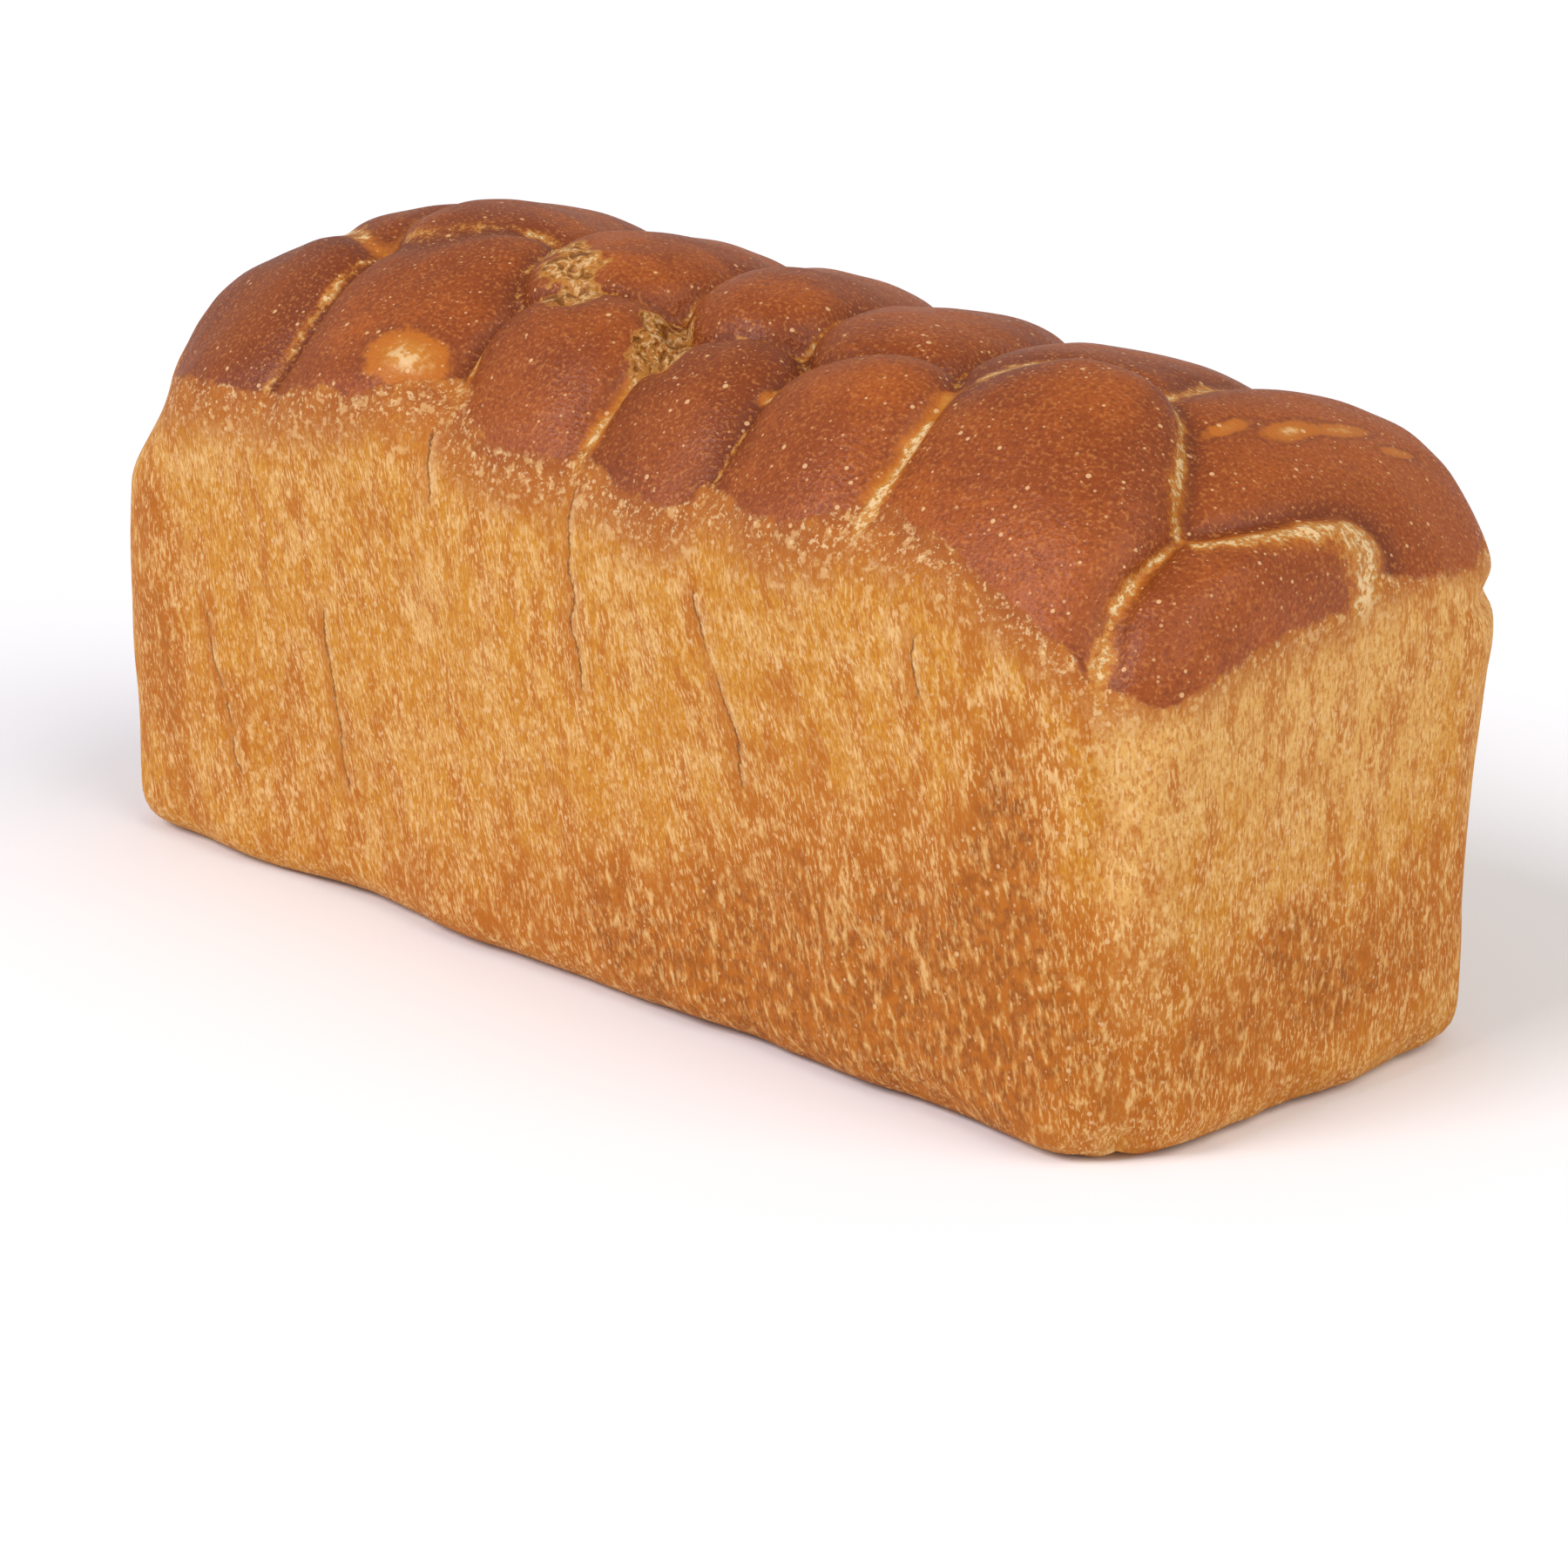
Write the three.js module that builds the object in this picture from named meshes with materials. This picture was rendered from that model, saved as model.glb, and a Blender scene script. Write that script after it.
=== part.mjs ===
// A plaited tin loaf, baked in one piece: straight sides from the tin, and a domed
// top where strands of dough, plaited down the length, swell out between the seams.
// Millimetres, +Z up. +X runs along the loaf and the front long side faces -Y.
import * as THREE from 'three';

// Driving dimensions, in millimetres.
const RIGHT_END = { base: 141, rim: 146 }; // wall distances from the plait's middle
const LEFT_END = { base: 143, rim: 140, sag: 9.5, sagFrom: 72, sagTo: 94 }; // leans in above sagFrom
const HALF_WIDTH = { base: 52, rim: 55 };
const CORNER_RADIUS = 20; // upright corners of the tin
const RIM_HEIGHT = 88; // where the dough left the tin
const SHOULDER = { height: 102, fade: 75, softness: 5 }; // lobes die out into the walls
const DOME = { rise: 39, halfWidth: 54, right: 146, left: 137, capSlack: 4 };
const CORE = { rise: 31, halfWidth: 55, right: 141, left: 137, capSlack: 4 };
const DOME_ROUNDNESS = 2.15; // exponent of the dome's arch: 2 is an ellipse
const PLAN_SQUARENESS = 3.4; // exponent of the dome's outline from above
const DOME_EDGE = 0.995; // lobes sit no nearer to the dome's outline than this
const CORE_SCALE = 44; // turns the core's level into rough millimetres
const LOBE_DEPTH = 18; // how far a lobe's middle lies under its crown
const LOBE_SCALE = 20; // turns a lobe's level into rough millimetres
const LOBE_FULLNESS = 2.4; // exponent of a lobe: 2 is an ellipsoid, more is fuller
const SEAM_SOFTNESS = 2; // rounding between two lobes
const CORE_SOFTNESS = 2;
const BASE_SOFTNESS = 9; // rounding of the bottom edge

// The lobes of the plait. x and y place the crown, wide is its half length along the
// loaf and long across it, turn is its slant in degrees, and lift raises its crown.
const LOBES = [
  // front row, from the left end to the lobe that folds over the right end
  { x: -112, y: -40, wide: 31, long: 32, turn: 6, lift: -1.2 },
  { x: -61, y: -39.5, wide: 29, long: 36, turn: 8, lift: 1.5 },
  { x: -15, y: -45, wide: 25, long: 28.5, turn: 4, lift: 1 },
  { x: 22, y: -47.5, wide: 22.5, long: 28, turn: 6, lift: 0.5 },
  { x: 59.5, y: -46, wide: 25, long: 28.5, turn: 14, lift: 0.3 },
  { x: 102, y: -41, wide: 29, long: 36, turn: 24, lift: -0.3 },
  { x: 145.9, y: -11, wide: 16.6, long: 34, turn: -7, lift: 2.2 },
  // back row, longer lobes that cross the ridge
  { x: -110, y: 15, wide: 24, long: 40, turn: 22, lift: 2 },
  { x: -79, y: 19, wide: 24, long: 42, turn: 22, lift: 4 },
  { x: -37, y: 19, wide: 25, long: 42, turn: 20, lift: 2.5 },
  { x: 2, y: 19, wide: 22.5, long: 42, turn: 22, lift: 1 },
  { x: 37, y: 19, wide: 23, long: 42, turn: 24, lift: -0.5 },
  { x: 82, y: 18, wide: 28, long: 42, turn: 16, lift: -2 },
  { x: 129.5, y: 22, wide: 30, long: 48, turn: 0, lift: -4.8 },
];

// Slow swells of the crust, in millimetres. Each wave has a height, the distance along
// x, y and z in which it turns by one radian, and the angle at which it starts. The
// waves at the foot die out upwards.
const SWELLS = [
  { height: 0.6, x: 19, y: Infinity, z: 27, start: 0.6 },
  { height: 0.6, x: -19, y: 33, z: 27, start: 2.2 },
  { height: 0.35, x: 9.5, y: 13, z: 12, start: 2.1 },
];
const FOOT_SWELLS = [
  { height: 0.6, x: 8.3, y: 6.1, z: Infinity, start: 1.3 },
  { height: 0.6, x: 13, y: -9, z: Infinity, start: 4 },
];
const FOOT_FADE = 14;

// Facets: a box of seed points round the loaf, each moved onto the crust.
const SEED_BOX = { left: -143, right: 146, halfWidth: 55, top: 125 };
const SEEDS_ALONG = 64;
const SEEDS_ACROSS = 25;
const BASE_INSETS = [16, 7]; // rings of the flat base, measured in from the box
const WALL_HEIGHTS = [0, 7, 18, 32, 48, 64, 76, 84, 90, 95, 100, 105, 110, 115, 120, 125];
const SPINE = { left: -84, right: 95, low: 30, high: 55 }; // every ray starts on the spine
const RAY = { nearest: 5, farthest: 150, halvings: 26 };
const ROUND_TO = 1000; // coordinates are rounded to a thousandth of a millimetre

const CRUST_COLOUR = 0xb56a34;
const CRUST_ROUGHNESS = 0.6;

const { abs, cos, max, min, sin } = Math;
const clamp = THREE.MathUtils.clamp;

function smoothMin(a, b, softness) {
  const share = clamp(0.5 + (0.5 * (b - a)) / softness, 0, 1);
  return b * (1 - share) + a * share - softness * share * (1 - share);
}

function smoothMax(a, b, softness) {
  return -smoothMin(-a, -b, softness);
}

// How far out a point of the plan is on a dome: 0 on the spine, 1 at the outline.
function planLevel(dome, x, y) {
  const capRadius = dome.halfWidth + dome.capSlack;
  const end = x > 0 ? dome.right : dome.left;
  const along = max(abs(x) - (end - capRadius), 0) / capRadius;
  const across = abs(y) / dome.halfWidth;
  return (along ** PLAN_SQUARENESS + across ** PLAN_SQUARENESS) ** (1 / PLAN_SQUARENESS);
}

// 1 on the dome's surface, less inside it.
function domeLevel(dome, x, y, z) {
  const up = max(z - RIM_HEIGHT, 0) / dome.rise;
  const out = planLevel(dome, x, y);
  return (out ** DOME_ROUNDNESS + up ** DOME_ROUNDNESS) ** (1 / DOME_ROUNDNESS);
}

function domeHeight(x, y) {
  const out = min(planLevel(DOME, x, y), DOME_EDGE);
  return RIM_HEIGHT + DOME.rise * (1 - out ** DOME_ROUNDNESS) ** (1 / DOME_ROUNDNESS);
}

function domeNormal(point) {
  const step = 0.5;
  const slope = (dx, dy, dz) =>
    domeLevel(DOME, point.x + dx, point.y + dy, point.z + dz) -
    domeLevel(DOME, point.x - dx, point.y - dy, point.z - dz);
  return new THREE.Vector3(slope(step, 0, 0), slope(0, step, 0), slope(0, 0, step)).normalize();
}

// A lobe is a rounded block that swells out of the dome: its middle, and its three
// axes, each divided by its half length so that a dot product gives a share.
function placeLobe({ x, y, wide, long, turn, lift }) {
  const crown = new THREE.Vector3(x, y, domeHeight(x, y));
  const out = domeNormal(crown);
  const alongLoaf = new THREE.Vector3(1, 0, 0).addScaledVector(out, -out.x).normalize();
  const acrossLoaf = new THREE.Vector3().crossVectors(out, alongLoaf);
  const angle = THREE.MathUtils.degToRad(turn);
  const wideAxis = alongLoaf.clone().multiplyScalar(cos(angle));
  wideAxis.addScaledVector(acrossLoaf, sin(angle)).divideScalar(wide);
  const longAxis = acrossLoaf.clone().multiplyScalar(cos(angle));
  longAxis.addScaledVector(alongLoaf, -sin(angle)).divideScalar(long);
  const middle = crown.addScaledVector(out, lift - LOBE_DEPTH);
  return { middle, axes: [wideAxis, longAxis, out.divideScalar(LOBE_DEPTH)] };
}

const placedLobes = LOBES.map(placeLobe);

// Below 0 inside a lobe, above 0 outside it.
function lobeDistance({ middle, axes }, point) {
  const offset = point.clone().sub(middle);
  let sum = 0;
  for (const axis of axes) sum += abs(offset.dot(axis)) ** LOBE_FULLNESS;
  return (sum ** (1 / LOBE_FULLNESS) - 1) * LOBE_SCALE;
}

// Distance to the tin's tapered, round-cornered wall: below 0 inside.
function tinDistance({ x, y, z }) {
  const up = clamp(z / RIM_HEIGHT, 0, 1);
  const sag = LEFT_END.sag * THREE.MathUtils.smoothstep(z, LEFT_END.sagFrom, LEFT_END.sagTo);
  const right = THREE.MathUtils.lerp(RIGHT_END.base, RIGHT_END.rim, up);
  const left = sag - THREE.MathUtils.lerp(LEFT_END.base, LEFT_END.rim, up);
  const halfWidth = THREE.MathUtils.lerp(HALF_WIDTH.base, HALF_WIDTH.rim, up);
  const outX = abs(x - (left + right) / 2) - ((right - left) / 2 - CORNER_RADIUS);
  const outY = abs(y) - (halfWidth - CORNER_RADIUS);
  const corner = Math.hypot(max(outX, 0), max(outY, 0));
  return corner + min(max(outX, outY), 0) - CORNER_RADIUS;
}

function swell({ x, y, z }) {
  const wave = (sum, w) => sum + w.height * sin(x / w.x + y / w.y + z / w.z + w.start);
  return SWELLS.reduce(wave, 0) + Math.exp(-max(z, 0) / FOOT_FADE) * FOOT_SWELLS.reduce(wave, 0);
}

// The whole loaf: below 0 inside the crust.
function loafDistance(point) {
  const core = (domeLevel(CORE, point.x, point.y, point.z) - 1) * CORE_SCALE;
  let lobes = Infinity;
  for (const lobe of placedLobes) {
    const distance = lobeDistance(lobe, point);
    lobes = lobes === Infinity ? distance : smoothMin(lobes, distance, SEAM_SOFTNESS);
  }
  const swollen = max(SHOULDER.height - point.z, 0) ** 2 / SHOULDER.fade;
  const top = smoothMin(core, lobes, CORE_SOFTNESS) - swollen;
  const upright = smoothMax(top, tinDistance(point), SHOULDER.softness);
  return smoothMax(upright - swell(point), -point.z, BASE_SOFTNESS);
}

// The crust point that a seed looks at from the spine.
function ontoCrust(seed) {
  const start = new THREE.Vector3(
    clamp(seed.x, SPINE.left, SPINE.right), 0, clamp(seed.z, SPINE.low, SPINE.high));
  const ray = seed.clone().sub(start).normalize();
  let inside = RAY.nearest;
  let outside = RAY.farthest;
  for (let i = 0; i < RAY.halvings; i++) {
    const middle = (inside + outside) / 2;
    if (loafDistance(start.clone().addScaledVector(ray, middle)) < 0) inside = middle;
    else outside = middle;
  }
  const point = start.addScaledVector(ray, (inside + outside) / 2);
  return point.multiplyScalar(ROUND_TO).round().divideScalar(ROUND_TO);
}

// The seed box's outline from above, as whole steps, counter-clockwise from the
// front left corner.
function outlineSteps() {
  const steps = [];
  for (let i = 0; i < SEEDS_ALONG; i++) steps.push([i, 0]);
  for (let j = 0; j < SEEDS_ACROSS; j++) steps.push([SEEDS_ALONG, j]);
  for (let i = SEEDS_ALONG; i > 0; i--) steps.push([i, SEEDS_ACROSS]);
  for (let j = SEEDS_ACROSS; j > 0; j--) steps.push([0, j]);
  return steps;
}

function seedAt(i, j, z, inset = 0) {
  const middle = (SEED_BOX.left + SEED_BOX.right) / 2;
  const halfLength = (SEED_BOX.right - SEED_BOX.left) / 2 - inset;
  const halfWidth = SEED_BOX.halfWidth - inset;
  return new THREE.Vector3(
    middle + halfLength * ((2 * i) / SEEDS_ALONG - 1),
    halfWidth * ((2 * j) / SEEDS_ACROSS - 1), z);
}

// Rings of crust points up the walls, a grid of them over the top, and one fan of
// facets over the flat base.
function buildCrust() {
  const points = [];
  const facets = [];
  const addPoint = (seed) => points.push(ontoCrust(seed)) - 1;
  const addQuad = (a, b, c, d) => facets.push(a, b, c, a, c, d);

  const outline = outlineSteps();
  const addRing = (z, inset) => outline.map(([i, j]) => addPoint(seedAt(i, j, z, inset)));
  const rings = BASE_INSETS.map((inset) => addRing(0, inset));
  for (const z of WALL_HEIGHTS) rings.push(addRing(z));
  for (let k = 1; k < rings.length; k++) {
    for (let n = 0; n < outline.length; n++) {
      const next = (n + 1) % outline.length;
      addQuad(rings[k - 1][n], rings[k - 1][next], rings[k][next], rings[k][n]);
    }
  }

  const grid = new Map();
  const key = (i, j) => `${i},${j}`;
  outline.forEach(([i, j], n) => grid.set(key(i, j), rings.at(-1)[n]));
  for (let i = 1; i < SEEDS_ALONG; i++) {
    for (let j = 1; j < SEEDS_ACROSS; j++) {
      grid.set(key(i, j), addPoint(seedAt(i, j, SEED_BOX.top)));
    }
  }
  for (let i = 0; i < SEEDS_ALONG; i++) {
    for (let j = 0; j < SEEDS_ACROSS; j++) {
      const [a, b] = [grid.get(key(i, j)), grid.get(key(i + 1, j))];
      addQuad(a, b, grid.get(key(i + 1, j + 1)), grid.get(key(i, j + 1)));
    }
  }

  const baseMiddle = addPoint(new THREE.Vector3(0, 0, 0));
  rings[0].forEach((point, n) => {
    facets.push(rings[0][(n + 1) % outline.length], point, baseMiddle);
  });

  const geometry = new THREE.BufferGeometry().setFromPoints(points);
  geometry.setIndex(facets);
  geometry.computeBoundingBox();
  const middle = geometry.boundingBox.getCenter(new THREE.Vector3());
  geometry.translate(-middle.x, -middle.y, -geometry.boundingBox.min.z);
  geometry.computeVertexNormals();
  return geometry;
}

const crust = new THREE.MeshStandardMaterial({
  color: CRUST_COLOUR, roughness: CRUST_ROUGHNESS, metalness: 0,
});
const loaf = new THREE.Mesh(buildCrust(), crust);
loaf.name = 'loaf';

const group = new THREE.Group();
group.add(loaf);

export default group;
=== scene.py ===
import math
from functools import partial

import bpy
import numpy as np
from mathutils import Euler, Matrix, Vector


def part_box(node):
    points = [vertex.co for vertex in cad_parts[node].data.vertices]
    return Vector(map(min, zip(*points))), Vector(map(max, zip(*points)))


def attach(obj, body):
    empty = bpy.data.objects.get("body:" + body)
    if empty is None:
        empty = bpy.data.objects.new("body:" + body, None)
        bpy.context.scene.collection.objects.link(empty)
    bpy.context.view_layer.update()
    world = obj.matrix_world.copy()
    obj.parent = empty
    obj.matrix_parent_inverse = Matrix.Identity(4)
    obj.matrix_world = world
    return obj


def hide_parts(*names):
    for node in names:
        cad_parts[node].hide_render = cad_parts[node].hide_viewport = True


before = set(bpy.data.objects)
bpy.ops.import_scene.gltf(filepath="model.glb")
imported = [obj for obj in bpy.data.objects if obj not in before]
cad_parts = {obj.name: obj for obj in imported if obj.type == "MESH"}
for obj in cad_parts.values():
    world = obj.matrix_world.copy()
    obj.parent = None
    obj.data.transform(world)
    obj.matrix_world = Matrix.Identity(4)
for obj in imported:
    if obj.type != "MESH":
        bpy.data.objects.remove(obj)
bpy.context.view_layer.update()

# A plaited tin loaf. Its walls and base baked against the tin, and its top is two rows
# of dough lobes that rose over the rim, brushed with egg. Sizes below are in millimetres.
mm = 0.001

# the tin that gave the walls their shape; each pair is at the base and at the rim
tin = {
    "rightEnd": (141, 146),
    "leftEnd": (143, 140),
    "leftSag": (9.5, 72, 94),  # how far the left end leans in, from and to which height
    "halfWidth": (52, 55),
    "cornerRadius": 20,
    "rimHeight": 88,
    "baseRounding": 9,
}

# the dough above the rim
dough = {
    "dome": {"rise": 39, "halfWidth": 54, "right": 146, "left": 137, "capSlack": 4},
    "core": {"rise": 31, "halfWidth": 55, "right": 141, "left": 137, "capSlack": 4},
    "roundness": 2.15,
    "planSquareness": 3.4,
    "domeEdge": 0.995,
    "coreScale": 44,
    "coreSoftness": 2,
    "lobeDepth": 18,
    "lobeScale": 20,
    "lobeFullness": 2.4,
    "seamSoftness": 1.1,
    "shoulderHeight": 102,
    "shoulderFade": 75,
    "shoulderSoftness": 5,
    "wander": 0.6,  # how far a lobe strays from its smooth form
    "wanderLength": 34,
    "wanderStarts": (84, 100),  # heights from and to which it comes in
    "wanderSeeds": (3, 4, 5),
}

# slow unevenness of the crust: each wave's height, the mm in x, y and z that turn it by
# one radian, and its start; the foot's livelier waves die out upwards
swells = {
    "walls": [(0.6, 19, math.inf, 27, 0.6), (0.6, -19, 33, 27, 2.2), (0.35, 9.5, 13, 12, 2.1)],
    "foot": [(0.6, 8.3, 6.1, math.inf, 1.3), (0.6, 13, -9, math.inf, 4)],
    "footFade": 14,
}

# each lobe: x, y, half width along the loaf, half length across it, turn in degrees,
# lift of its crown, and how dark its glaze baked
lobes = {
    "front1": (-112, -40, 31, 32, 6, -1.2, 1),
    "front2": (-61, -39.5, 29, 36, 8, 1.5, 0.1),
    "front3": (-15, -45, 25, 28.5, 4, 1, 0.5),
    "front4": (22, -47.5, 22.5, 28, 6, 0.5, 0.7),
    "front5": (59.5, -46, 25, 28.5, 14, 0.3, 0.2),
    "front6": (102, -41, 29, 36, 24, -0.3, 0),
    "fold": (145.9, -11, 16.6, 34, -7, 2.2, -0.4),
    "back1": (-110, 15, 24, 40, 22, 2, 0.4),
    "back2": (-79, 19, 24, 42, 22, 4, 0.2),
    "back3": (-37, 19, 25, 42, 20, 2.5, 0.2),
    "back4": (2, 19, 22.5, 42, 22, 1, 0.3),
    "back5": (37, 19, 23, 42, 24, -0.5, 0.3),
    "back6": (82, 18, 28, 42, 16, -2, 0.3),
    "back7": (129.5, 22, 30, 48, 0, -4.8, -0.7),
}

# what shows in a seam: how far its cream dough reaches onto the first and the second lobe,
# in mm from the crease, then how far the golden crust round it does. Below 0 the strip
# starts on the other lobe. A seam that isn't listed is a bare crease
seams = {
    ("front1", "front2"): (1.7, -1.5, 2.4, -1.1),
    ("front2", "front3"): (-2.8, 3.3, -1.8, 4.2),
    ("front3", "front4"): (0.4, 0.9, 2.0, 2.6),
    ("front5", "front6"): (0.2, 1.7, 1.8, 2.6),
    ("front6", "fold"): (0.8, -0.2, 1.6, 1.0),
    ("fold", "back7"): (3.1, -1.9, 3.9, -0.8),
    ("front6", "back7"): (1.6, -0.7, 2.3, 0),
    ("front2", "back2"): (-1.2, 0.8, -1.0, 1.2),
    ("back1", "back2"): (0.3, 0, 0.9, 0.6),
    ("back2", "back3"): (0.2, 0.3, 0.6, 1),
    ("back3", "back4"): (0.2, 0.1, 0.8, 0.4),
    ("back4", "back5"): (0.2, 0.2, 0.8, 0.8),
    ("back5", "back6"): (0.2, 0.3, 0.8, 1.2),
    ("back6", "back7"): (0.1, 0.2, 0.5, 0.8),
    ("front6", "back6"): (0.1, 0.1, 0.4, 0.4),
    ("front1", "back1"): (0.2, 0.3, 0.6, 0.8),
}
bareSeam = (0, 0, 0, 0)
seamScale = 0.9  # lobe distance that makes one millimetre from the crease

# places where the skin tore open and a web of crumb shows: middle, half sizes, strength
tornPlaces = [
    ((-39, -12, 128), (7, 5, 8), 1),
    ((-31, -17, 127), (7, 7, 8), 1),
    ((-23, -25, 125), (6.5, 6, 8), 1),
    ((-2, -20, 122), (6, 6, 8), 1),
    ((3, -26, 120), (7, 6.5, 8), 1),
    ((8, -31, 119), (6.5, 5, 8), 1),
]
# places where the skin stretched thin and stayed golden
stretchedPlaces = [
    ((-47, -46, 111), (10, 6.5, 6.5), 1.15),
    ((117.5, 0, 119), (2.6, 11, 3.6), 0.8),
    ((121, 13, 116), (3.4, 13, 4.5), 0.8),
    ((121.5, 26, 114), (2.6, 12, 5), 0.8),
    ((126, 36, 109), (2.2, 8, 5), 0.7),
    ((38, -33, 115), (3, 6, 6), 0.5),
    ((-88, 0, 125), (4, 8, 5), 0.7),
]
# lengths of a seam where its dough stayed covered
barePlaces = [
    ((130, -16, 109), (7, 8, 8), 1),
    ((76, -26, 121), (5, 7, 6), 1),
    ((-88, -12, 124), (8, 12, 6), 1),
]

# height of the glaze's lower edge, by distance round the tin from its front left corner
glazeEdge = [
    (0, 98), (48, 100), (64, 101), (71, 104), (88, 105), (97, 109), (108, 108), (116, 104),
    (124, 101.5), (145, 101), (149, 104), (157, 101), (166, 99), (181, 99), (187, 103), (207, 101),
    (231, 107), (240, 107), (251, 104), (264, 98), (278, 92), (288, 86), (299, 82), (318, 88),
    (333, 91), (345, 91), (352, 96), (366, 93), (383, 91), (399, 95),
    (420, 101), (455, 99), (475, 104), (515, 100), (545, 104), (590, 101), (640, 104),
    (688, 101), (720, 105), (750, 106), (785, 104), (798, 98),
]

# places on the walls, by distance round the tin and height, with their half sizes and
# strength: hot spots of the tin bake orange; of the cool ones, the narrow tall ones make paler bands down
# the rounded corners and the rest stay cream
hotSpots = [
    (255, 22, 48, 32, 1.0),
    (262, 50, 9, 34, 1.5),
    (205, 16, 50, 30, 1.0),
    (120, 10, 60, 20, 0.6),
    (18, 48, 16, 40, 0.8),
    (60, 30, 20, 26, 0.3),
    (318, 18, 24, 20, 0.7),
    (362, 22, 30, 22, 0.7),
    (384, 50, 10, 26, 0.5),
    (334, 36, 8, 6, 1.1),
    (346, 22, 9, 7, 1.0),
    (470, 20, 60, 26, 0.7),
    (590, 24, 60, 30, 0.8),
    (730, 22, 40, 28, 0.7),
]
coolSpots = [
    (345, 66, 44, 26, 0.7),
    (322, 78, 26, 9, 0.7),
    (377, 87, 20, 5, 1.0),
    (150, 82, 150, 14, 0.2),
    (540, 84, 170, 14, 0.4),
    # paler bands down the rounded corners, strongest at the front right one
    (297, 58, 7, 36, 1.0),
    (294, 20, 4, 20, 0.5),
    (399, 55, 8, 34, 0.5),
    (688, 55, 8, 34, 0.5),
    (4, 70, 8, 20, 0.5),
    (30, 62, 5, 7, 0.9),
    (108, 67, 5, 8, 0.9),
    (352, 74, 4, 9, 0.6),
    (190, 64, 4, 12, 0.5),
]

# hollows and swellings left by the dough's folds: middle, half sizes, depth inwards
hollows = [
    ((135.5, -52, 56), (3, 6, 13), 1.6),
    ((139, -48, 22), (2.6, 5, 18), 1.2),
    ((137, -44, 2), (5, 6, 7), 2.2),
    ((144, -8, 2), (6, 12, 6), 1.6),
    ((142, 30, 2), (6, 10, 7), 1.4),
    ((100, -54, 2), (14, 6, 5), 1.2),
    ((60, -54, 1), (12, 6, 5), 0.9),
    ((146, 9, 76), (4, 2.5, 11), 0.9),
    ((140, 48, 85), (12, 14, 2.6), 2.0),
    ((142, 46, 77), (10, 14, 6), -0.9),
    ((-47, -46, 111), (6, 4.5, 4.5), -1.0),
    ((-50, -46, 113), (1.8, 2.4, 1.6), 0.7),
    ((-45, -48, 109), (2.2, 2, 1.4), 0.5),
    ((-39, -11, 128), (6, 3.5, 6), 1.4),
    ((-29, -18, 127), (6, 4, 6), 2.6),
    ((-20, -27, 125), (4, 3.5, 6), 1.2),
    ((-3, -19, 122), (4, 3.5, 6), 1.4),
    ((3, -26, 120), (4.5, 4, 6), 2.6),
    ((12, -35, 118), (3.5, 3, 6), 1.0),
    ((117, 3, 119), (2.2, 9, 4), 0.3),
    ((122.5, 13, 116), (2.5, 13, 4.5), 0.35),
]

# hairline cracks on the front, each a run of (x, height) points from its upper end
cracks = [
    [(-104, 56), (-99, 40), (-93, 18)],
    [(-66, 62), (-64, 44), (-62, 20)],
    [(-35, 104), (-32, 98), (-31, 86)],
    [(9, 99), (7, 83), (12, 58)],
    [(42, 88), (43, 77), (50, 65), (53, 45)],
    [(96, 92), (99, 74)],
]
crackShape = {
    "wobble": 0.7,  # how far a crack wanders sideways, and over what length
    "wobbleLength": 5,
    "opens": (-3, 6),  # how far inside its ends it starts to show and is fully open
    "reach": (2.5, 5),  # how far beside it the crust still belongs to it
    "frontOf": -30,
}

# how far the streaks lean, in mm for each mm up, by distance round the tin
streakLean = [
    (0, 0.14), (60, 0.18), (150, 0.22), (230, 0.26), (262, 0.2), (300, 0.04),
    (350, 0), (399, 0.05), (450, 0.2), (640, 0.2), (700, 0.08), (798, 0.14),
]

# how finely the crust is laid out
meshing = {
    "seedBox": {"left": -143, "right": 146, "halfWidth": 55, "top": 125},
    "along": 258,
    "across": 98,
    "baseInsets": (44, 30, 18, 9, 4),
    "wallStep": 1.7,
    "upperStep": 1.02,
    "upperStarts": 80,
    "spine": (-84, 95, 30, 55),
    "nearest": 5,
    "farthest": 150,
    "halvings": 17,
}

# fine relief of the crust, in mm
relief = {
    "glaze": ((0.22, 15), (0.08, 5)),  # heights of its lumps and their sizes
    "wall": ((0.45, 15), (0.2, 5)),
    "torn": (0.8, 3.6),
    "crease": (0.9, 1.7),  # depth and half width
    "crack": (0.04, 1.3),
    "glazeStarts": (-4, 6),  # heights over the glaze's edge from and to which its relief comes in
    "wallSquash": 0.45,  # wall lumps are drawn out upwards
    "footStarts": (0.05, 4),  # heights from and to which all relief comes in
}


def smoothStep(low, high, value):
    t = np.clip((value - low) / (high - low), 0, 1)
    return t * t * (3 - 2 * t)


def smoothMin(a, b, softness):
    share = np.clip(0.5 + 0.5 * (b - a) / softness, 0, 1)
    return b * (1 - share) + a * share - softness * share * (1 - share)


def smoothMax(a, b, softness):
    return -smoothMin(-a, -b, softness)


def lumps(points, size, seed, waves=18):
    # smooth, even noise of about -1 to 1, whose lumps are about this size
    rng = np.random.default_rng(seed)
    turns = rng.normal(size=(waves, 3))
    turns /= np.linalg.norm(turns, axis=1, keepdims=True)
    turns *= rng.uniform(0.7, 1.4, (waves, 1)) * math.pi / size
    starts = rng.uniform(0, 2 * math.pi, waves)
    return np.sin(points @ turns.T + starts).sum(1) * math.sqrt(2 / waves) * 0.7


def planLevel(shape, x, y):
    # 0 on the spine, 1 at the outline seen from above
    capRadius = shape["halfWidth"] + shape["capSlack"]
    end = np.where(x > 0, shape["right"], shape["left"])
    along = np.maximum(np.abs(x) - (end - capRadius), 0) / capRadius
    across = np.abs(y) / shape["halfWidth"]
    n = dough["planSquareness"]
    return (along ** n + across ** n) ** (1 / n)


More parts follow.
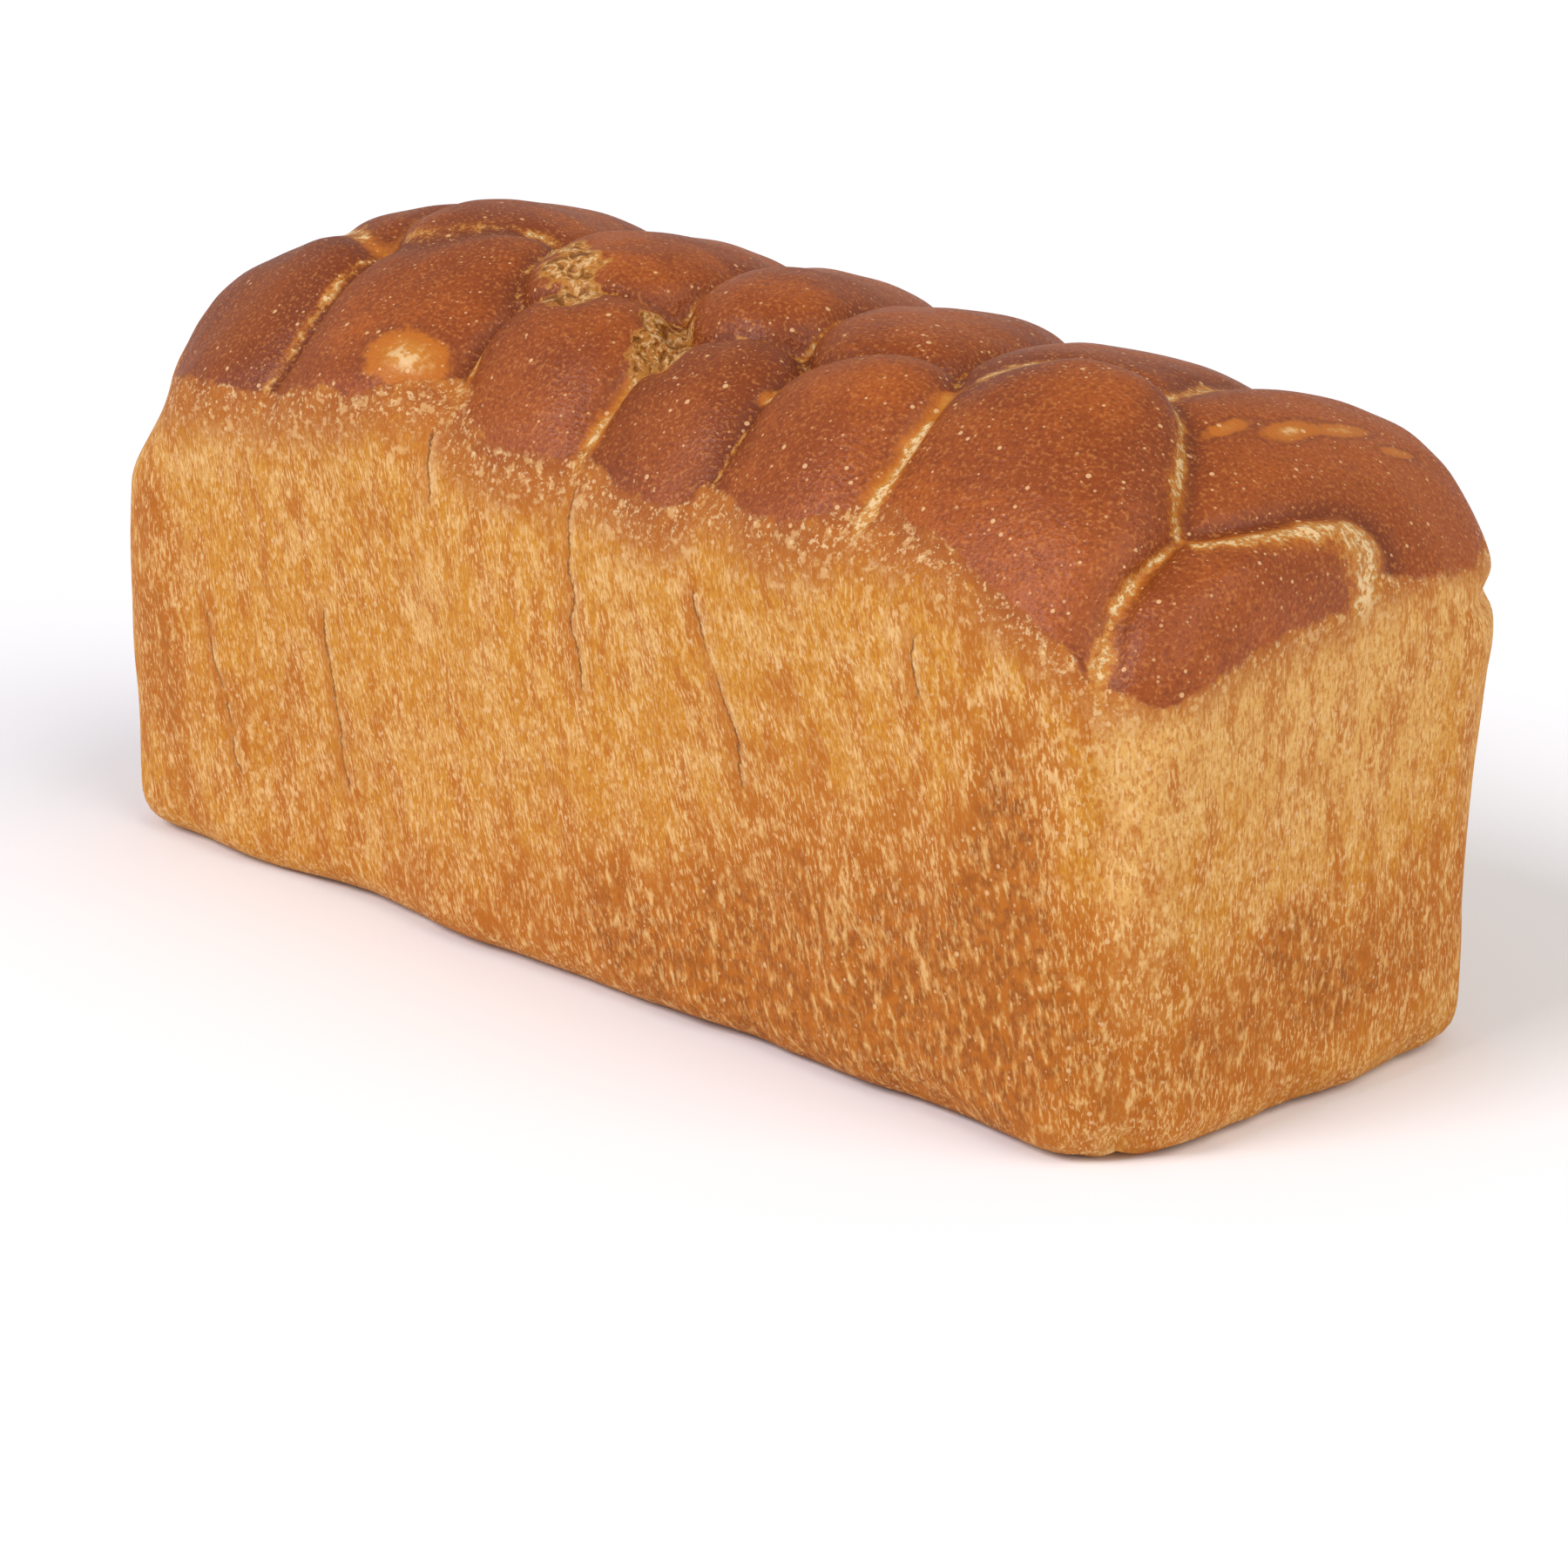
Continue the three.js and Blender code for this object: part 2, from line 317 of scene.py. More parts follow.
def domeLevel(shape, p):
    up = np.maximum(p[..., 2] - tin["rimHeight"], 0) / shape["rise"]
    n = dough["roundness"]
    return (planLevel(shape, p[..., 0], p[..., 1]) ** n + up ** n) ** (1 / n)


def placeLobe(x, y, wide, long, turn, lift, dark):
    # a lobe's middle and its three axes, each divided by its half length
    dome, n, depth = dough["dome"], dough["roundness"], dough["lobeDepth"]
    out = min(float(planLevel(dome, x, y)), dough["domeEdge"])
    crown = np.array([x, y, tin["rimHeight"] + dome["rise"] * (1 - out ** n) ** (1 / n)])
    steps = np.eye(3) * 0.5
    facing = domeLevel(dome, crown + steps) - domeLevel(dome, crown - steps)
    facing /= np.linalg.norm(facing)
    alongLoaf = np.array([1.0, 0, 0]) - facing * facing[0]
    alongLoaf /= np.linalg.norm(alongLoaf)
    acrossLoaf = np.cross(facing, alongLoaf)
    c, s = math.cos(math.radians(turn)), math.sin(math.radians(turn))
    wideAxis, longAxis = alongLoaf * c + acrossLoaf * s, acrossLoaf * c - alongLoaf * s
    return crown + facing * (lift - depth), np.array([wideAxis / wide, longAxis / long, facing / depth]).T


placedLobes = [placeLobe(*values) for values in lobes.values()]


def lobeDistances(p):
    n = dough["lobeFullness"]
    levels = [((np.abs((p - middle) @ axes) ** n).sum(1) ** (1 / n) - 1) for middle, axes in placedLobes]
    return np.array(levels) * dough["lobeScale"]


def tinDistance(p):
    x, y, z = p.T
    up = np.clip(z / tin["rimHeight"], 0, 1)
    sag, starts, ends = tin["leftSag"]
    right, left, halfWidth = [base + up * (rim - base)
                              for base, rim in (tin["rightEnd"], tin["leftEnd"], tin["halfWidth"])]
    left = sag * smoothStep(starts, ends, z) - left
    outX = np.abs(x - (left + right) / 2) - ((right - left) / 2 - tin["cornerRadius"])
    outY = np.abs(y) - (halfWidth - tin["cornerRadius"])
    corner = np.hypot(np.maximum(outX, 0), np.maximum(outY, 0))
    return corner + np.minimum(np.maximum(outX, outY), 0) - tin["cornerRadius"]


def swell(p):
    x, y, z = p.T
    walls, foot = [sum(height * np.sin(x / a + y / b + z / c + start) for height, a, b, c, start in waves)
                   for waves in (swells["walls"], swells["foot"])]
    return walls + foot * np.exp(-np.maximum(z, 0) / swells["footFade"])


def strayed(p):
    # lobes of real dough aren't quite regular; the walls keep the tin's shape
    share = dough["wander"] * smoothStep(*dough["wanderStarts"], p[:, 2:3])
    ways = [lumps(p, dough["wanderLength"], seed) for seed in dough["wanderSeeds"]]
    return p + share * np.stack(ways, 1)


def loafDistance(p):
    q = strayed(p)
    core = (domeLevel(dough["core"], q) - 1) * dough["coreScale"]
    plait = None
    for one in lobeDistances(q):
        plait = one if plait is None else smoothMin(plait, one, dough["seamSoftness"])
    swollen = np.maximum(dough["shoulderHeight"] - p[:, 2], 0) ** 2 / dough["shoulderFade"]
    top = smoothMin(core, plait, dough["coreSoftness"]) - swollen
    upright = smoothMax(top, tinDistance(p), dough["shoulderSoftness"])
    return smoothMax(upright - swell(p), -p[:, 2], tin["baseRounding"])


def ontoCrust(seeds):
    # each seed moves along its ray from the spine until it lies on the crust
    left, right, low, high = meshing["spine"]
    x, z = np.clip(seeds[:, 0], left, right), np.clip(seeds[:, 2], low, high)
    start = np.stack([x, np.zeros(len(x)), z], 1)
    ray = seeds - start
    ray /= np.linalg.norm(ray, axis=1, keepdims=True)
    inside = np.full(len(seeds), float(meshing["nearest"]))
    outside = np.full(len(seeds), float(meshing["farthest"]))
    for _ in range(meshing["halvings"]):
        middle = (inside + outside) / 2
        within = loafDistance(start + ray * middle[:, None]) < 0
        inside, outside = np.where(within, middle, inside), np.where(within, outside, middle)
    return start + ray * ((inside + outside) / 2)[:, None]


def layOutSeeds():
    # rings of seeds over the base and up the walls, then a grid over the top
    box, along, across = meshing["seedBox"], meshing["along"], meshing["across"]
    outline = [(i, 0) for i in range(along)] + [(along, j) for j in range(across)]
    outline += [(i, across) for i in range(along, 0, -1)] + [(0, j) for j in range(across, 0, -1)]
    middle, halfLength = (box["left"] + box["right"]) / 2, (box["right"] - box["left"]) / 2

    def seedRow(steps, z, inset=0):
        i, j = np.array(steps).T
        x = middle + (halfLength - inset) * (2 * i / along - 1)
        y = (box["halfWidth"] - inset) * (2 * j / across - 1)
        return np.stack([x, y, np.full(len(i), float(z))], 1)

    starts, top = meshing["upperStarts"], box["top"]
    lower = np.linspace(0, starts, round(starts / meshing["wallStep"]) + 1)
    upper = np.linspace(starts, top, round((top - starts) / meshing["upperStep"]) + 1)
    rows = [seedRow(outline, 0, inset) for inset in meshing["baseInsets"]]
    rows += [seedRow(outline, z) for z in (*lower, *upper[1:])]
    count = len(outline)
    lastRing = (len(rows) - 1) * count
    grid = np.zeros((along + 1, across + 1), int)
    for n, (i, j) in enumerate(outline):
        grid[i, j] = lastRing + n
    inner = [(i, j) for i in range(1, along) for j in range(1, across)]
    grid[1:along, 1:across] = np.arange(len(inner)).reshape(along - 1, across - 1) + lastRing + count
    rows.append(seedRow(inner, box["top"]))
    ring = np.arange(count)
    around = np.roll(ring, -1)
    faces = [np.stack([ring, around, around + count, ring + count], 1) + k * count
             for k in range(lastRing // count)]
    cells = [grid[:-1, :-1], grid[1:, :-1], grid[1:, 1:], grid[:-1, 1:]]
    faces.append(np.stack([c.ravel() for c in cells], 1))
    seeds = np.concatenate(rows)
    seeds = np.concatenate([seeds, [[0.0, 0, 0]]])
    fan = np.stack([around, ring, np.full(count, len(seeds) - 1)], 1)
    return seeds, np.concatenate(faces), fan


def pointNormals(p, quads):
    across = np.cross(p[quads[:, 2]] - p[quads[:, 0]], p[quads[:, 3]] - p[quads[:, 1]])
    total = np.zeros_like(p)
    for corner in range(4):
        np.add.at(total, quads[:, corner], across)
    total[-1] = (0, 0, -1)
    return total / np.linalg.norm(total, axis=1, keepdims=True)


def roundTin(p):
    # distance round the tin from its front left corner, counter-clockwise from above
    box = meshing["seedBox"]
    left, right, w = box["left"], box["right"], box["halfWidth"]
    length = right - left
    x, y = p[:, 0] - (left + right) / 2, p[:, 1]
    reach = np.maximum(np.maximum(np.abs(x) / (length / 2), np.abs(y) / w), 1e-6)
    x, y = x / reach + (left + right) / 2, y / reach
    sides = [x - left, length + y + w, length + 2 * w + right - x, 2 * length + 2 * w + w - y]
    onEnds = np.abs(y) < w - 1e-6
    return np.select([~onEnds & (y < 0), onEnds & (x > 0), ~onEnds & (y > 0)], sides[:3], sides[3])


def spots(places, round_, z):
    # how strongly the listed places of the walls act on each point
    total = np.zeros(len(z))
    box = meshing["seedBox"]
    loop = 2 * (box["right"] - box["left"]) + 4 * box["halfWidth"]
    for place, height, along, up, strength in places:
        away = np.abs(round_ - place)
        away = np.minimum(away, loop - away)
        total += strength * np.exp(-((away / along) ** 2) - ((z - height) / up) ** 2)
    return total


def nearness(places, p):
    # above 0 inside a listed place, its strength in its middle
    best = np.full(len(p), -3.0)
    for middle, half, strength in places:
        best = np.maximum(best, strength - np.linalg.norm((p - middle) / np.array(half, float), axis=1))
    return best


def seamStrips(p):
    # how far inside a seam's cream strip and its golden strip a point lies, how far from
    # the crease, and how dark the lobe under it baked
    names = list(lobes)
    table = np.tile(np.array(bareSeam, float), (len(names), len(names), 1))
    for (a, b), (creamA, creamB, goldA, goldB) in seams.items():
        table[names.index(a), names.index(b)] = (creamA, creamB, goldA, goldB)
        table[names.index(b), names.index(a)] = (creamB, creamA, goldB, goldA)
    distances = lobeDistances(strayed(p))
    order = np.argsort(distances, axis=0)[:2]
    columns = np.arange(len(p))
    gap = (distances[order[1], columns] - distances[order[0], columns]) / seamScale
    nearCream, farCream, nearGold, farGold = table[order[0], order[1]].T
    cream = (nearCream + farCream) / 2 - np.abs(gap - (nearCream - farCream) / 2)
    gold = (nearGold + farGold) / 2 - np.abs(gap - (nearGold - farGold) / 2)
    dark = np.array([values[-1] for values in lobes.values()])
    return cream, gold, np.minimum(gap, 20), dark[order[0]]


def crackReach(p):
    # signed distance to the nearest crack, and how near and how open it is
    farAway = 9.0
    side, near = np.full(len(p), farAway), np.zeros(len(p))
    x, y, z = p.T
    heightOnly = p * (0, 0, 1)
    shut, full = crackShape["opens"]
    for number, run in enumerate(cracks):
        xs, zs = np.array(run[::-1], float).T
        wobble = crackShape["wobble"] * lumps(heightOnly, crackShape["wobbleLength"], 40 + number)
        away = x - np.interp(z, zs, xs) - wobble
        opened = smoothStep(zs[0] + shut, zs[0] + full, z)
        opened *= 1 - smoothStep(zs[-1] - full, zs[-1] - shut, z)
        share = opened * (1 - smoothStep(*crackShape["reach"], np.abs(away))) * (y < crackShape["frontOf"])
        side, near = np.where(share > near, away, side), np.maximum(near, share)
    return side, near


def buildCrust():
    seeds, quads, fan = layOutSeeds()
    p = ontoCrust(seeds)
    print("crust laid out:", len(p), "points,", 2 * len(quads) + len(fan), "triangles")

    round_ = roundTin(p)
    knots, edgeHeights = np.array(glazeEdge, float).T
    looks = {"aboveGlaze": p[:, 2] - np.interp(round_, knots, edgeHeights)}
    looks["seamCream"], looks["seamGold"], looks["offCrease"], looks["dark"] = seamStrips(p)
    bareDepth = 4  # mm that a bare place takes off the cream strip
    looks["seamCream"] -= bareDepth * smoothStep(0, 0.5, nearness(barePlaces, p))
    looks["torn"] = nearness(tornPlaces, p)
    looks["stretched"] = nearness(stretchedPlaces, p)
    looks["bake"] = spots(hotSpots, round_, p[:, 2])
    looks["pale"] = spots(coolSpots, round_, p[:, 2])
    looks["crackSide"], looks["crackNear"] = crackReach(p)

    # relief, which dies out where the loaf stands on its base
    onGlaze = smoothStep(*relief["glazeStarts"], looks["aboveGlaze"])
    stretchedUp = p * (1, 1, relief["wallSquash"])
    rise = np.zeros(len(p))
    for seed, (height, size) in enumerate(relief["glaze"]):
        rise += onGlaze * height * lumps(p, size, 10 + seed)
    for seed, (height, size) in enumerate(relief["wall"]):
        rise += (1 - onGlaze) * height * lumps(stretchedUp, size, 20 + seed)
    height, size = relief["torn"]
    strands = 1 - 2 * np.abs(lumps(p, size, 30))
    rise += height * strands * smoothStep(0, 0.5, looks["torn"])
    depth, width = relief["crease"]
    rise -= onGlaze * depth * np.exp(-(looks["offCrease"] / width) ** 2)
    for middle, half, depth in hollows:
        rise -= depth * np.exp(-(((p - middle) / np.array(half, float)) ** 2).sum(1))
    depth, width = relief["crack"]
    rise -= depth * (looks["crackNear"] * np.exp(-(looks["crackSide"] / width) ** 2))
    offFoot = smoothStep(*relief["footStarts"], p[:, 2])
    p = p + pointNormals(p, quads) * (rise * offFoot)[:, None]
    p[:, 2] = np.maximum(p[:, 2], 0)

    # streaks lean with the way the dough was dragged up the tin; a high power turns the
    # way the wall faces quickly at the corners
    box = meshing["seedBox"]
    power, midHeight = 7, 50
    halfLength, halfWidth = (box["right"] - box["left"]) / 2, box["halfWidth"]
    lengthWays = ((p[:, 0] - (box["left"] + box["right"]) / 2) / halfLength) ** power
    widthWays = (p[:, 1] / halfWidth) ** power
    facing = np.stack([lengthWays / 2.6, widthWays], 1)  # 2.6 times as long as wide
    facing /= np.linalg.norm(facing, axis=1, keepdims=True) + 1e-6
    lean = np.interp(round_, *np.array(streakLean, float).T) * (p[:, 2] - midHeight)
    grain = np.stack([p[:, 0] - facing[:, 1] * lean, p[:, 1] + facing[:, 0] * lean, p[:, 2]], 1)

    # into the frame, in metres, just inside the space that the solid holds
    low, high = [np.array(corner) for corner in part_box("loaf")]
    room = 0.00004
    fit = (high - low - 2 * room) / (p.max(0) - p.min(0))
    p = (p - p.min(0)) * fit + low + room

    mesh = bpy.data.meshes.new("loafCrust")
    mesh.vertices.add(len(p))
    mesh.vertices.foreach_set("co", p.astype(np.float32).ravel())
    mesh.loops.add(4 * len(quads) + 3 * len(fan))
    mesh.loops.foreach_set("vertex_index", np.concatenate([quads.ravel(), fan.ravel()]).astype(np.int32))
    mesh.polygons.add(len(quads) + len(fan))
    starts = np.concatenate([np.arange(len(quads)) * 4, 4 * len(quads) + np.arange(len(fan)) * 3])
    mesh.polygons.foreach_set("loop_start", starts.astype(np.int32))
    mesh.update(calc_edges=True)
    mesh.polygons.foreach_set("use_smooth", np.ones(len(mesh.polygons), bool))
    for name, values in looks.items():
        mesh.attributes.new(name, "FLOAT", "POINT").data.foreach_set("value", values.astype(np.float32))
    grainData = mesh.attributes.new("grain", "FLOAT_VECTOR", "POINT").data
    grainData.foreach_set("vector", grain.astype(np.float32).ravel())
    print("mesh is valid:", not mesh.validate())
    loaf = bpy.data.objects.new("crust", mesh)
    bpy.context.scene.collection.objects.link(loaf)
    return loaf


def linearColour(hexCode):
    parts = [int(hexCode[i:i + 2], 16) / 255 for i in (1, 3, 5)]
    return (*[c / 12.92 if c <= 0.04045 else ((c + 0.055) / 1.055) ** 2.4 for c in parts], 1)


def addNode(tree, kind, links=None, out=0, **settings):
    # adds a node with its settings; a link or a plain number goes into each named input
    node = tree.nodes.new("ShaderNode" + kind)
    for name, value in settings.items():
        setattr(node, name, value)
    for socket, value in (links or {}).items():
        if isinstance(value, bpy.types.NodeSocket):
            tree.links.new(value, node.inputs[socket])
        else:
            node.inputs[socket].default_value = value
    return node if out is None or not node.outputs else node.outputs[out]


# White bread crust. Above the rim it was brushed with egg, which browns to chestnut and
# gives a soft shine. Below it baked dry against the tin: golden tan, drawn up into short
# pale streaks by the rising dough. Seams that opened late in the oven stay cream.
crustLook = {
    "glazeDark": "#8c400e",
    "glazeLight": "#a45115",
    # deepest glaze brown, also used as painted shade towards the creases and in the peel's pits
    "glazeDeep": "#682a08",
    # pale flecks of the glaze, also painted sparkle on its peel
    "glazeFleck": "#c27a3c",
    "glazeOrange": "#b96717",
    "toast": "#a85c1c",
    "toastDeep": "#934816",
    "wallGold": "#c78626",
    "wallPale": "#d9a65c",
    "wallOrange": "#b26412",
    "wallDeep": "#8c4a0e",
    "streak": "#e6bb7c",
    "cream": "#ebcb96",
    "seamGold": "#c48230",
    "tornGold": "#b5762b",
    # painted shade in the holes between a tear's strands
    "crumbHole": "#824a12",
    "crackDark": "#5f3417",
    "bubble": "#dcae7a",
    "glazeRoughness": 0.38,
    "wallRoughness": 0.75,
    "unevenShine": 0.12,
    "specular": 0.3,
    "bumpStrength": 0.8,
    "glazeStarts": (3.4, 4.7),  # values of "ragged" between which the wall turns to glaze
    "crumbWeb": 3.9,  # mm between the strands of a tear
    "webBends": (0.35, 6),  # bends for each mm, and how far they push a strand
    "bubbleEdge": 0.18,  # mm over which a bubble's rim fades
    "crackFromLine": 0.8,  # mm between a crack and the line that its two lips share
}

# grain size in mm, how many times longer it is up the wall, detail, roughness; strokes and
# peel are drawn a little coarser than the real ones, so that they show
crustNoises = {
    "broad": (19, 1.3, 3, 0.5),
    "patchy": (7, 1, 3, 0.5),
    "ribs": (5.5, 2.5, 3, 0.6),
    "clumps": (2.4, 1, 3, 0.6),
    "fine": (1.3, 1, 2, 0.55),
    "peel": (0.75, 1, 1, 0.5),
    "threads": (1.1, 1, 3, 0.65),
    "strokes": (0.5, 3.4, 2, 0.55),
    "darkStrokes": (0.65, 2.8, 2, 0.6),
    "slowStrokes": (1.6, 2.2, 3, 0.6),
}

# bubbles under the skin: mm between them, and the smallest and the largest radius in mm;
# one whose radius is below 0 doesn't show
crustBubbles = {"blister": (2.5, -0.25, 0.62), "pinhole": (1.4, -0.1, 0.42)}

# what the mesh carries at each of its points
crustFields = (
    "aboveGlaze", "seamCream", "seamGold", "offCrease", "dark", "torn",
    "stretched", "bake", "pale", "crackSide", "crackNear",
)

# sums of the fields, each with its share
crustSums = {
    "ragged": {"aboveGlaze": 1, "patchy": 4, "clumps": 2.5, "fine": 1.5},
    "toasting": {"aboveGlaze": 1, "broad": 12, "clumps": 6, "pale": -9},
    "baked": {"bake": 1, "broad": 1.2, "ribs": 0.8, "slowStrokes": 0.4},
    "paling": {"pale": 1, "patchy": 0.9, "slowStrokes": 0.4},
    "mottle": {"broad": 0.7, "fine": 0.3},
    "thinned": {"stretched": 1, "patchy": 0.5, "clumps": 0.4, "fine": 0.3},
    "golden": {"seamGold": 1, "patchy": 3.0, "fine": 1.5},
    "creamy": {"seamCream": 1, "patchy": 2.5, "clumps": 2.5, "threads": 2.5},
    "opened": {"torn": 1, "patchy": 1.2, "clumps": 0.6, "offCrease": -0.03},
    "line": {"crackSide": 1, "fine": 1.6},
    "lineBreaks": {"crackNear": 1, "patchy": 2.2},
}

# coats of colour, in order: tone, strength, and the fields that limit it with the values
# from and to which each comes in
wallCoats = [
    ("wallPale", 0.9, ("paling", 0.75, 1.4)),
    ("wallPale", 0.6, ("patchy", 0.5, 0.64)),
    ("wallOrange", 0.75, ("ribs", 0.48, 0.62)),
    ("wallOrange", 0.95, ("baked", 1.3, 1.9)),
    ("wallDeep", 0.85, ("baked", 1.7, 2.4), ("clumps", 0.36, 0.6)),
    ("wallPale", 0.6, ("slowStrokes", 0.49, 0.62)),
    ("wallOrange", 0.6, ("darkStrokes", 0.49, 0.62)),
    ("wallOrange", 0.35, ("peel", 0.5, 0.64)),
    ("streak", 0.6, ("slowStrokes", 0.6, 0.7)),
    ("streak", 0.7, ("strokes", 0.51, 0.65), ("patchy", 0.34, 0.58), ("baked", 3.4, 1.6)),
    ("streak", 0.35, ("strokes", 0.51, 0.65), ("baked", 2.2, 1.3)),
    ("toast", 0.85, ("toasting", -9.0, 4.0), ("clumps", 0.22, 0.46)),
    ("toastDeep", 0.7, ("toasting", 2.0, 9.0), ("patchy", 0.4, 0.56)),
    ("streak", 0.5, ("toasting", -12.0, -2.0), ("clumps", 0.54, 0.66)),
    ("cream", 0.6, ("toasting", -4.0, 5.0), ("threads", 0.56, 0.64)),
]
glazeCoats = [
    ("glazeLight", 1.0, ("mottle", 0.4, 0.6)),
    ("glazeLight", 0.8, ("dark", 0.0, -1.0)),
    ("glazeDeep", 0.5, ("dark", 0.1, 1.0)),
    # darker glaze towards each crease: partly the glaze baked darker there, partly painted shade that
    # falls into the crease
    ("glazeDeep", 0.3, ("offCrease", 8.0, 2.0)),
    ("glazeDeep", 0.7, ("offCrease", 2.6, 0.2)),
    # light flecks and dark pits on the peel grain: partly the glaze's own mottling, partly painted sparkle
    # and painted shade of the peel's tiny bumps
    ("glazeFleck", 0.45, ("peel", 0.54, 0.7)),
    ("glazeDeep", 0.4, ("peel", 0.44, 0.32)),
    ("glazeOrange", 0.9, ("golden", 1.4, 3.6)),
    ("seamGold", 0.9, ("golden", 2.9, 4.4)),
    ("glazeDeep", 0.3, ("thinned", 0.3, 0.6)),
    ("glazeOrange", 0.95, ("thinned", 0.6, 0.9)),
    ("seamGold", 0.8, ("thinned", 0.95, 1.4)),
    ("cream", 0.6, ("thinned", 1.1, 1.5), ("clumps", 0.44, 0.56)),
]
lastCoats = [
    ("bubble", 0.6, ("pinhole", 0.0, 1.0)),
    ("bubble", 0.85, ("blister", 0.0, 1.0)),
    ("tornGold", 0.95, ("opened", 0.75, 0.9)),
    # the holes between a tear's strands darken: painted shade
    ("crumbHole", 0.9, ("opened", 0.85, 1.0), ("web", 0.4, 1.0)),
    ("cream", 0.6, ("opened", 0.85, 1.0), ("web", 0.45, 0.15), ("threads", 0.44, 0.56)),
    ("seamGold", 0.9, ("creamy", 3.1, 3.8), ("aboveGlaze", -8, -1)),
    ("cream", 0.85, ("creamy", 3.6, 4.2), ("threads", 0.4, 0.54), ("aboveGlaze", -8, -1)),
    ("cream", 0.2, ("line", 3.4, 1.6), ("line", 0.9, 1.5), ("lineBreaks", 1.7, 2.2)),
    ("wallOrange", 0.6, ("line", -3.0, 0.0), ("line", 0.9, 0.3), ("lineBreaks", 1.2, 2.0)),
    ("crackDark", 0.7, ("offLine", 0.4, 0.1), ("lineBreaks", 1.6, 2.1)),
]
# relief too fine for the mesh: field, height in mm, limits
crustBumps = [
    ("peel", 0.32, ("glazed", 0, 1)),
    ("fine", 0.08),
    ("strokes", 0.22, ("glazed", 1, 0)),
    ("slowStrokes", 0.2, ("glazed", 1, 0)),
    ("clumps", 0.25, ("glazed", 1, 0)),
    ("blister", 0.06),
    ("threads", 0.5, ("creamy", 3.5, 4.3), ("aboveGlaze", -8, -1)),
    ("web", -0.5, ("opened", 0.9, 1.05)),
    ("offLine", 0.08, ("crackNear", 0.3, 0.9)),
]


def paint(add, field, tone, colour, coats):
    # each coat covers what is below it as far as its limits let it
    for name, strength, *limits in coats:
        share = strength
        for limit, start, end in limits:
            links = {0: field[limit], 1: start, 2: end, 4: share}
            share = add("MapRange", links, interpolation_type="SMOOTHSTEP")
        colour = add("Mix", {0: share, 6: colour, 7: tone[name]}, out=2, data_type="RGBA")
    return colour


def bakeCrustMaterial():
    look = crustLook
    material = bpy.data.materials.new("eggWashedTinBakedCrust")
    material.use_nodes = True
    material.node_tree.nodes.clear()
    add = partial(addNode, material.node_tree)
    tone = {name: linearColour(value) for name, value in look.items() if isinstance(value, str)}

    objectPlace = add("TexCoord", out="Object")
    place = add("VectorMath", {0: objectPlace, "Scale": 1 / mm}, operation="SCALE")
    grain = add("Attribute", out="Vector", attribute_name="grain")
    field = {name: add("Attribute", out="Fac", attribute_name=name) for name in crustFields}

    for number, (name, (size, longer, detail, roughness)) in enumerate(crustNoises.items()):
        apart = (number * 13.7, number * 7.1, number * 3.3)  # so that no noise repeats another
        perMm = (1 / size, 1 / size, 1 / size / longer)
        source = grain if longer > 1 else place
        sized = add("Mapping", {"Vector": source, "Location": apart, "Scale": perMm})
        links = {"Vector": sized, "Scale": 1.0, "Detail": detail, "Roughness": roughness}
        field[name] = add("TexNoise", links)

    # a bubble shows where its cell's random radius reaches past its middle
    for name, (gap, smallest, largest) in crustBubbles.items():
        cell = add("TexVoronoi", {"Vector": place, "Scale": 1 / gap}, out=None)
        chance = add("SeparateColor", {0: cell.outputs["Color"]})
        radius = add("MapRange", {0: chance, 1: 0.3, 2: 1.0, 3: smallest, 4: largest})
        inside = add("Math", {0: cell.outputs["Distance"], 1: -gap, 2: radius}, operation="MULTIPLY_ADD")
        links = {0: inside, 1: 0.0, 2: look["bubbleEdge"]}
        field[name] = add("MapRange", links, interpolation_type="SMOOTHSTEP")

    # strands of a tear run along the edges of its bubbles
    bending, push = look["webBends"]
    bends = add("TexNoise", {"Vector": place, "Scale": bending}, out="Color")
    warped = add("VectorMath", {0: bends, 1: (push,) * 3, 2: place}, operation="MULTIPLY_ADD")
    web = add("TexVoronoi", {"Vector": warped, "Scale": 1 / look["crumbWeb"]}, feature="DISTANCE_TO_EDGE")
    field["web"] = add("Math", {0: web, 1: look["crumbWeb"]}, operation="MULTIPLY")

    for name, shares in crustSums.items():
        total = 0.0
        for part, share in shares.items():
            total = add("Math", {0: field[part], 1: share, 2: total}, operation="MULTIPLY_ADD")
        field[name] = total
    offLine = add("Math", {0: field["line"], 1: look["crackFromLine"]}, operation="SUBTRACT")
    field["offLine"] = add("Math", {0: offLine}, operation="ABSOLUTE")
    starts, ends = look["glazeStarts"]
    links = {0: field["ragged"], 1: starts, 2: ends}
    field["glazed"] = add("MapRange", links, interpolation_type="SMOOTHSTEP")

    layers = {"wall": (tone["wallGold"], wallCoats), "glaze": (tone["glazeDark"], glazeCoats)}
    painted = {}
    for name, (colour, coats) in layers.items():
        painted[name] = paint(add, field, tone, colour, coats)
    links = {0: field["glazed"], 6: painted["wall"], 7: painted["glaze"]}
    surface = add("Mix", links, out=2, data_type="RGBA")
    surface = paint(add, field, tone, surface, lastCoats)

    height = 0.0
    for name, most, *limits in crustBumps:
        share = most
        for limit, start, end in limits:
            links = {0: field[limit], 1: start, 2: end, 4: share}
            share = add("MapRange", links, interpolation_type="SMOOTHSTEP")
        height = add("Math", {0: field[name], 1: share, 2: height}, operation="MULTIPLY_ADD")
    bump = add("Bump", {"Height": height, "Distance": mm, "Strength": look["bumpStrength"]})

    # egg wash shines softly, dry crust hardly
    roughness = add("MapRange", {0: field["glazed"], 3: look["wallRoughness"], 4: look["glazeRoughness"]})
    links = {0: field["fine"], 1: look["unevenShine"], 2: roughness}
    roughness = add("Math", links, operation="MULTIPLY_ADD")
    shader = add("BsdfPrincipled", {
        "Base Color": surface,
        "Roughness": roughness,
        "Specular IOR Level": look["specular"],
        "Normal": bump,
    })
    add("OutputMaterial", {"Surface": shader})
    return material


